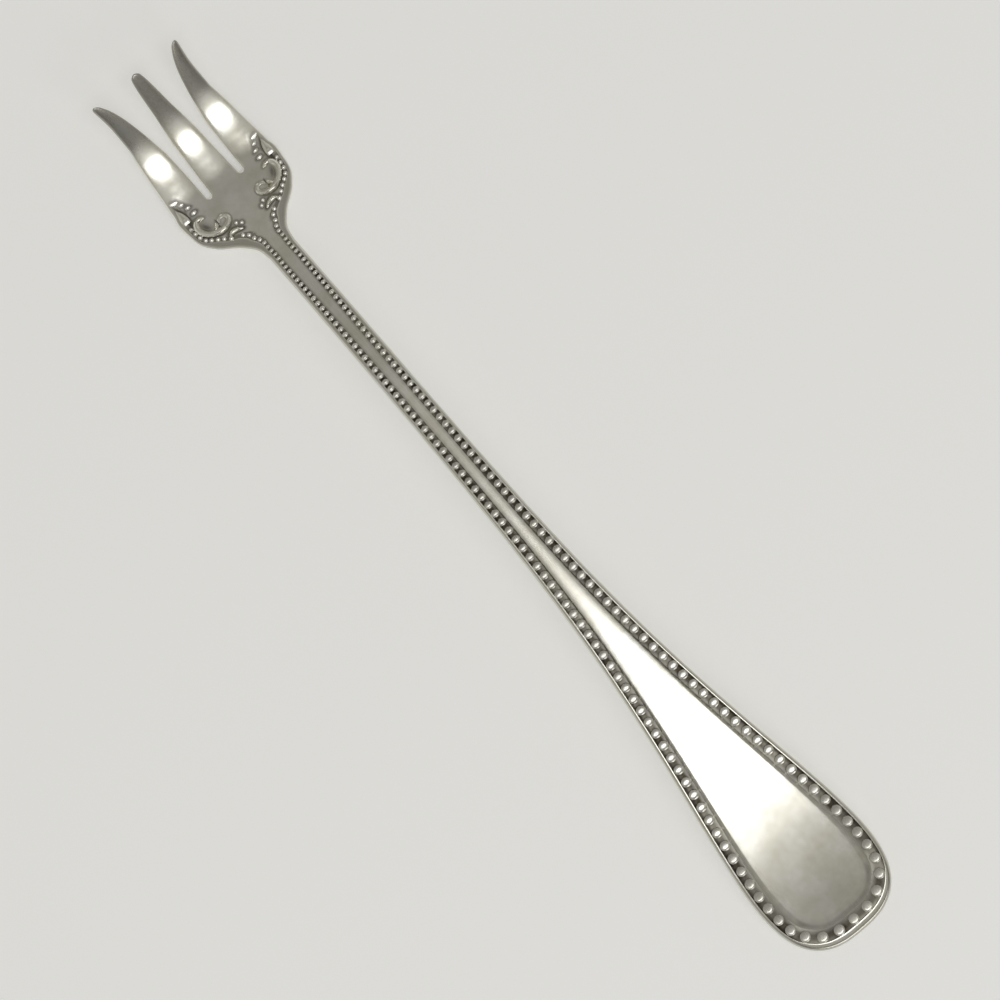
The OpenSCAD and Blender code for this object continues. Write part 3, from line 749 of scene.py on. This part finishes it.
def maker(tree):
    """Short forms for adding and linking nodes of one tree."""
    def node(kind, inputs=(), **settings):
        made = tree.nodes.new(kind)
        for key, value in settings.items():
            setattr(made, key, value)
        for key, value in dict(inputs).items():
            made.inputs[key].default_value = value
        return made

    def link(source, output, target, entry):
        tree.links.new(source.outputs[output], target.inputs[entry])

    return node, link


def silver(name, bright, dull, tarnish_and_painted_shade, roughness, painted_shade_reach):
    """Worn silver: soft clouds, scratches, dark patina, and painted shade where the form is
    sheltered.
    """
    material = bpy.data.materials.new(name)
    material.use_nodes = True
    tree = material.node_tree
    shader = tree.nodes["Principled BSDF"]
    shader.inputs["Metallic"].default_value = 1
    node, link = maker(tree)
    spot = node("ShaderNodeTexCoord")

    # Clouds of bright and dull silver
    clouds = node("ShaderNodeTexNoise", {"Scale": 220, "Detail": 5, "Roughness": 0.62})
    link(spot, "Object", clouds, "Vector")
    tone = node("ShaderNodeValToRGB")
    for element, position, colour in zip(tone.color_ramp.elements, (0.34, 0.66), (dull, bright)):
        element.position = position
        element.color = (*colour, 1)
    link(clouds, "Fac", tone, "Fac")

    # Patina and painted shade: the mesh's own values, broken into patches, and painted shade in the
    # narrow places
    worn_in = node("ShaderNodeAttribute", attribute_name="patina_and_painted_shade")
    patches = node("ShaderNodeMapRange", {"From Min": 0.25, "From Max": 0.75,
                                          "To Min": 0.7, "To Max": 1.15})
    link(clouds, "Fac", patches, "Value")
    deep = node("ShaderNodeMath", operation="MULTIPLY", use_clamp=True)
    link(worn_in, "Fac", deep, 0)
    link(patches, "Result", deep, 1)
    # Painted shade: where the ambient occlusion is low, the colour goes dark towards the patina's
    shelter = node("ShaderNodeAmbientOcclusion", {"Distance": painted_shade_reach * MM}, samples=8)
    shaded = node("ShaderNodeMapRange", {"From Min": 0.25, "From Max": 0.8,
                                         "To Min": 0.55, "To Max": 0})
    link(shelter, "AO", shaded, "Value")
    patina_and_painted_shade = node("ShaderNodeMath", operation="MAXIMUM")
    link(deep, "Value", patina_and_painted_shade, 0)
    link(shaded, "Result", patina_and_painted_shade, 1)
    stained_and_shaded = node("ShaderNodeMix", {MIX_B: (*tarnish_and_painted_shade, 1)}, data_type="RGBA")
    link(patina_and_painted_shade, "Value", stained_and_shaded, MIX_FACTOR)
    link(tone, "Color", stained_and_shaded, MIX_A)
    link(stained_and_shaded, MIX_RESULT, shader, "Base Color")

    # Gloss: fine scratches, and duller where the patina and the painted shade are
    stretch = node("ShaderNodeMapping", {"Scale": (900, 9000, 4000), "Rotation": (0, 0, 0.12)})
    link(spot, "Object", stretch, "Vector")
    scratches = node("ShaderNodeTexNoise", {"Scale": 1, "Detail": 3, "Roughness": 0.7})
    link(stretch, "Vector", scratches, "Vector")
    gloss = node("ShaderNodeMapRange", {"From Min": 0.25, "From Max": 0.75,
                                        "To Min": roughness - 0.025, "To Max": roughness + 0.03})
    link(scratches, "Fac", gloss, "Value")
    matt = node("ShaderNodeMath", {1: 0.18}, operation="MULTIPLY_ADD")
    link(patina_and_painted_shade, "Value", matt, 0)
    link(gloss, "Result", matt, 2)
    link(matt, "Value", shader, "Roughness")

    # Fine dents, and the scratches as relief
    wear_noise = node("ShaderNodeTexNoise", {"Scale": 1400, "Detail": 4, "Roughness": 0.6})
    link(spot, "Object", wear_noise, "Vector")
    dents = node("ShaderNodeBump", {"Strength": 0.025, "Distance": 0.006 * MM})
    link(wear_noise, "Fac", dents, "Height")
    lines = node("ShaderNodeBump", {"Strength": 0.1, "Distance": 0.001 * MM})
    link(scratches, "Fac", lines, "Height")
    link(dents, "Normal", lines, "Normal")
    link(lines, "Normal", shader, "Normal")
    return material


# Dark brown of the patina, which also colours the painted shade of sheltered places
PATINA_AND_PAINTED_SHADE = (0.055, 0.046, 0.032)
SILVER = silver("worn_silver", bright=(0.92, 0.91, 0.855), dull=(0.765, 0.742, 0.645),
                tarnish_and_painted_shade=PATINA_AND_PAINTED_SHADE, roughness=0.185, painted_shade_reach=0.5)
BEAD_SILVER = silver("bead_silver", bright=(0.90, 0.89, 0.84), dull=(0.84, 0.82, 0.75),
                     tarnish_and_painted_shade=PATINA_AND_PAINTED_SHADE, roughness=0.22, painted_shade_reach=0.4)


# Pieces
def both_sides(name, shapes, material, slot):
    points, faces, stain = gathered(shapes)
    for side, placed in (("left", points), ("right", flipped(points))):
        add_piece(f"{side}_{name}_worn", placed, faces, stain, material, [f"{side}_{name}"], slot)


def build_fork():
    plain, beaded = (SILVER, "silver"), (BEAD_SILVER, "bead_silver")
    add_piece("struck_blank", *blank_mesh(), SILVER, ["fork_blank"], "silver")
    tip = bead_shapes(-HALF_LENGTH, TERMINAL_X)
    mirrored = [(flipped(p), f, s) for p, f, s in tip[1:]]
    add_piece("terminal_beads_worn", *gathered(tip + mirrored), BEAD_SILVER, ["terminal_beads"],
              "bead_silver")
    both_sides("handle_beads", bead_shapes(TERMINAL_X, GRIP_X), *beaded)
    both_sides("stem_beads", bead_shapes(GRIP_X, NECK_X), *beaded)
    drop = face_pearl(*DROP, DROP_R)
    both_sides("neck_beads", bead_shapes(NECK_X, LAST_NECK_X) + [drop], *beaded)
    both_sides("shoulder_pearls", bead_shapes(PEARL_X, LAST_PEARL_X), *beaded)
    both_sides("c_scroll", [ridge(C_SCROLL, steps=120)], *plain)
    both_sides("inner_leaf", [ridge(INNER_LEAF, steps=24)], *plain)
    both_sides("neck_scroll", [ridge(NECK_SCROLL, steps=50)], *plain)
    both_sides("shoulder_leaf", [ridge(SHOULDER_LEAF, steps=30, fall=LEAF_FALL)], *plain)
    both_sides("pearl_pair", [face_pearl(*p, PEARL_PAIR_R) for p in PEARL_PAIR], *beaded)
    seeds = [ridge(seed_path(*seed), steps=12, crest=SEED_CREST, fall=SEED_FALL, lift=lift)
             for seed, lift in zip(SEEDS, SEED_LIFT)]
    both_sides("trailing_pearls", seeds, *beaded)


# Stage, light and camera, in metres and watts
FLOOR_SIZE = 6
FLOOR_COLOUR = (0.86, 0.86, 0.85, 1)
FLOOR_GLOW = (0.27, 0.27, 0.266, 1)


def floor_material():
    """Pale floor that takes the object's shadow; the camera and reflections see it lightened."""
    material = bpy.data.materials.new("pale_floor")
    material.use_nodes = True
    tree = material.node_tree
    shader = tree.nodes["Principled BSDF"]
    shader.inputs["Base Color"].default_value = FLOOR_COLOUR
    shader.inputs["Roughness"].default_value = 0.9
    shader.inputs["Specular IOR Level"].default_value = 0.1
    shader.inputs["Emission Color"].default_value = FLOOR_GLOW
    node, link = maker(tree)
    ray = node("ShaderNodeLightPath")
    seen = node("ShaderNodeMath", operation="MAXIMUM")
    link(ray, "Is Camera Ray", seen, 0)
    link(ray, "Is Glossy Ray", seen, 1)
    through_glass = node("ShaderNodeMath", operation="MAXIMUM")
    link(seen, "Value", through_glass, 0)
    link(ray, "Is Transmission Ray", through_glass, 1)
    link(through_glass, "Value", shader, "Emission Strength")
    return material


def add_floor():
    bpy.ops.mesh.primitive_plane_add(size=FLOOR_SIZE)
    floor = bpy.context.object
    floor.name = "floor"
    floor.data.materials.append(floor_material())


def add_softbox(name, at, size, power, aim=(0, 0, 0)):
    lamp = bpy.data.lights.new(name, "AREA")
    lamp.shape = "ELLIPSE"
    lamp.size, lamp.size_y = size
    lamp.energy = power
    box = bpy.data.objects.new(name, lamp)
    box.location = at
    box.rotation_euler = (Vector(aim) - Vector(at)).to_track_quat("-Z", "X").to_euler()
    bpy.context.scene.collection.objects.link(box)


# Room tones by the part of a direction that lies along the fork, and the tone of the room's sides
ROOM = [(-1, 0.36), (-0.93, 0.36), (-0.84, 0.26), (-0.77, 0.06), (-0.63, 0.06), (-0.58, 0.29),
        (-0.49, 0.33), (-0.45, 0.33), (-0.41, 0.36), (-0.3, 0.42), (-0.05, 0.45), (0.03, 0.4),
        (0.1, 0.33), (0.16, 0.3), (0.5, 0.3), (0.64, 0.28), (1, 0.36)]
ROOM_SIDE = 0.42
ROOM_GREEN, ROOM_BLUE = 0.98, 0.91


def tint(level):
    return (level, level * ROOM_GREEN, level * ROOM_BLUE, 1)


def add_world():
    world = bpy.data.worlds.new("studio")
    bpy.context.scene.world = world
    world.use_nodes = True
    tree = world.node_tree
    node, link = maker(tree)
    direction = node("ShaderNodeTexCoord")
    parts = node("ShaderNodeSeparateXYZ")
    link(direction, "Generated", parts, 0)
    along = node("ShaderNodeMapRange", {"From Min": -1, "From Max": 1})
    link(parts, "X", along, "Value")
    tones = node("ShaderNodeValToRGB")
    levels = tones.color_ramp.elements
    levels[0].position, levels[1].position = 0, 1
    levels[0].color, levels[1].color = tint(ROOM[0][1]), tint(ROOM[-1][1])
    for position, level in ROOM[1:-1]:
        levels.new((position + 1) / 2).color = tint(level)
    link(along, "Result", tones, "Fac")
    across = node("ShaderNodeMath", operation="ABSOLUTE")
    link(parts, "Y", across, 0)
    aside = node("ShaderNodeMapRange", {"From Min": 0.35, "From Max": 0.75},
                 interpolation_type="SMOOTHSTEP")
    link(across, "Value", aside, "Value")
    room = node("ShaderNodeMix", {MIX_B: tint(ROOM_SIDE)}, data_type="RGBA")
    link(aside, "Result", room, MIX_FACTOR)
    link(tones, "Color", room, MIX_A)
    link(room, MIX_RESULT, tree.nodes["Background"], "Color")


CAMERA_TURN = 229.5
CAMERA_TILT = 2.5
CAMERA_DISTANCE = 0.5
CAMERA_AIM = Vector((0.0001, -0.00035, 0.004))
CAMERA_LENS = 135
CAMERA_NEAR = 0.01


def add_camera():
    turn, tilt = math.radians(CAMERA_TURN), math.radians(CAMERA_TILT)
    right = Vector((math.cos(turn), math.sin(turn), 0))
    down = Vector((math.sin(turn), -math.cos(turn), 0))
    back = down * math.sin(tilt) + Vector((0, 0, math.cos(tilt)))
    lens = bpy.data.cameras.new("camera")
    lens.lens = CAMERA_LENS
    lens.clip_start = CAMERA_NEAR
    camera = bpy.data.objects.new("camera", lens)
    turned = Matrix((right, back.cross(right), back)).transposed()
    camera.matrix_world = Matrix.Translation(CAMERA_AIM + back * CAMERA_DISTANCE) @ turned.to_4x4()
    bpy.context.scene.collection.objects.link(camera)
    bpy.context.scene.camera = camera


build_fork()
add_floor()
add_world()
add_softbox("key_softbox", at=(-0.285, 0, 1.0), size=(0.23, 0.95), power=1.36, aim=(-0.285, 0, 0))
add_softbox("side_softbox", at=(-0.883, 0, 0.469), size=(0.353, 0.7), power=1.2)
add_camera()
bpy.context.scene.view_settings.view_transform = "Standard"
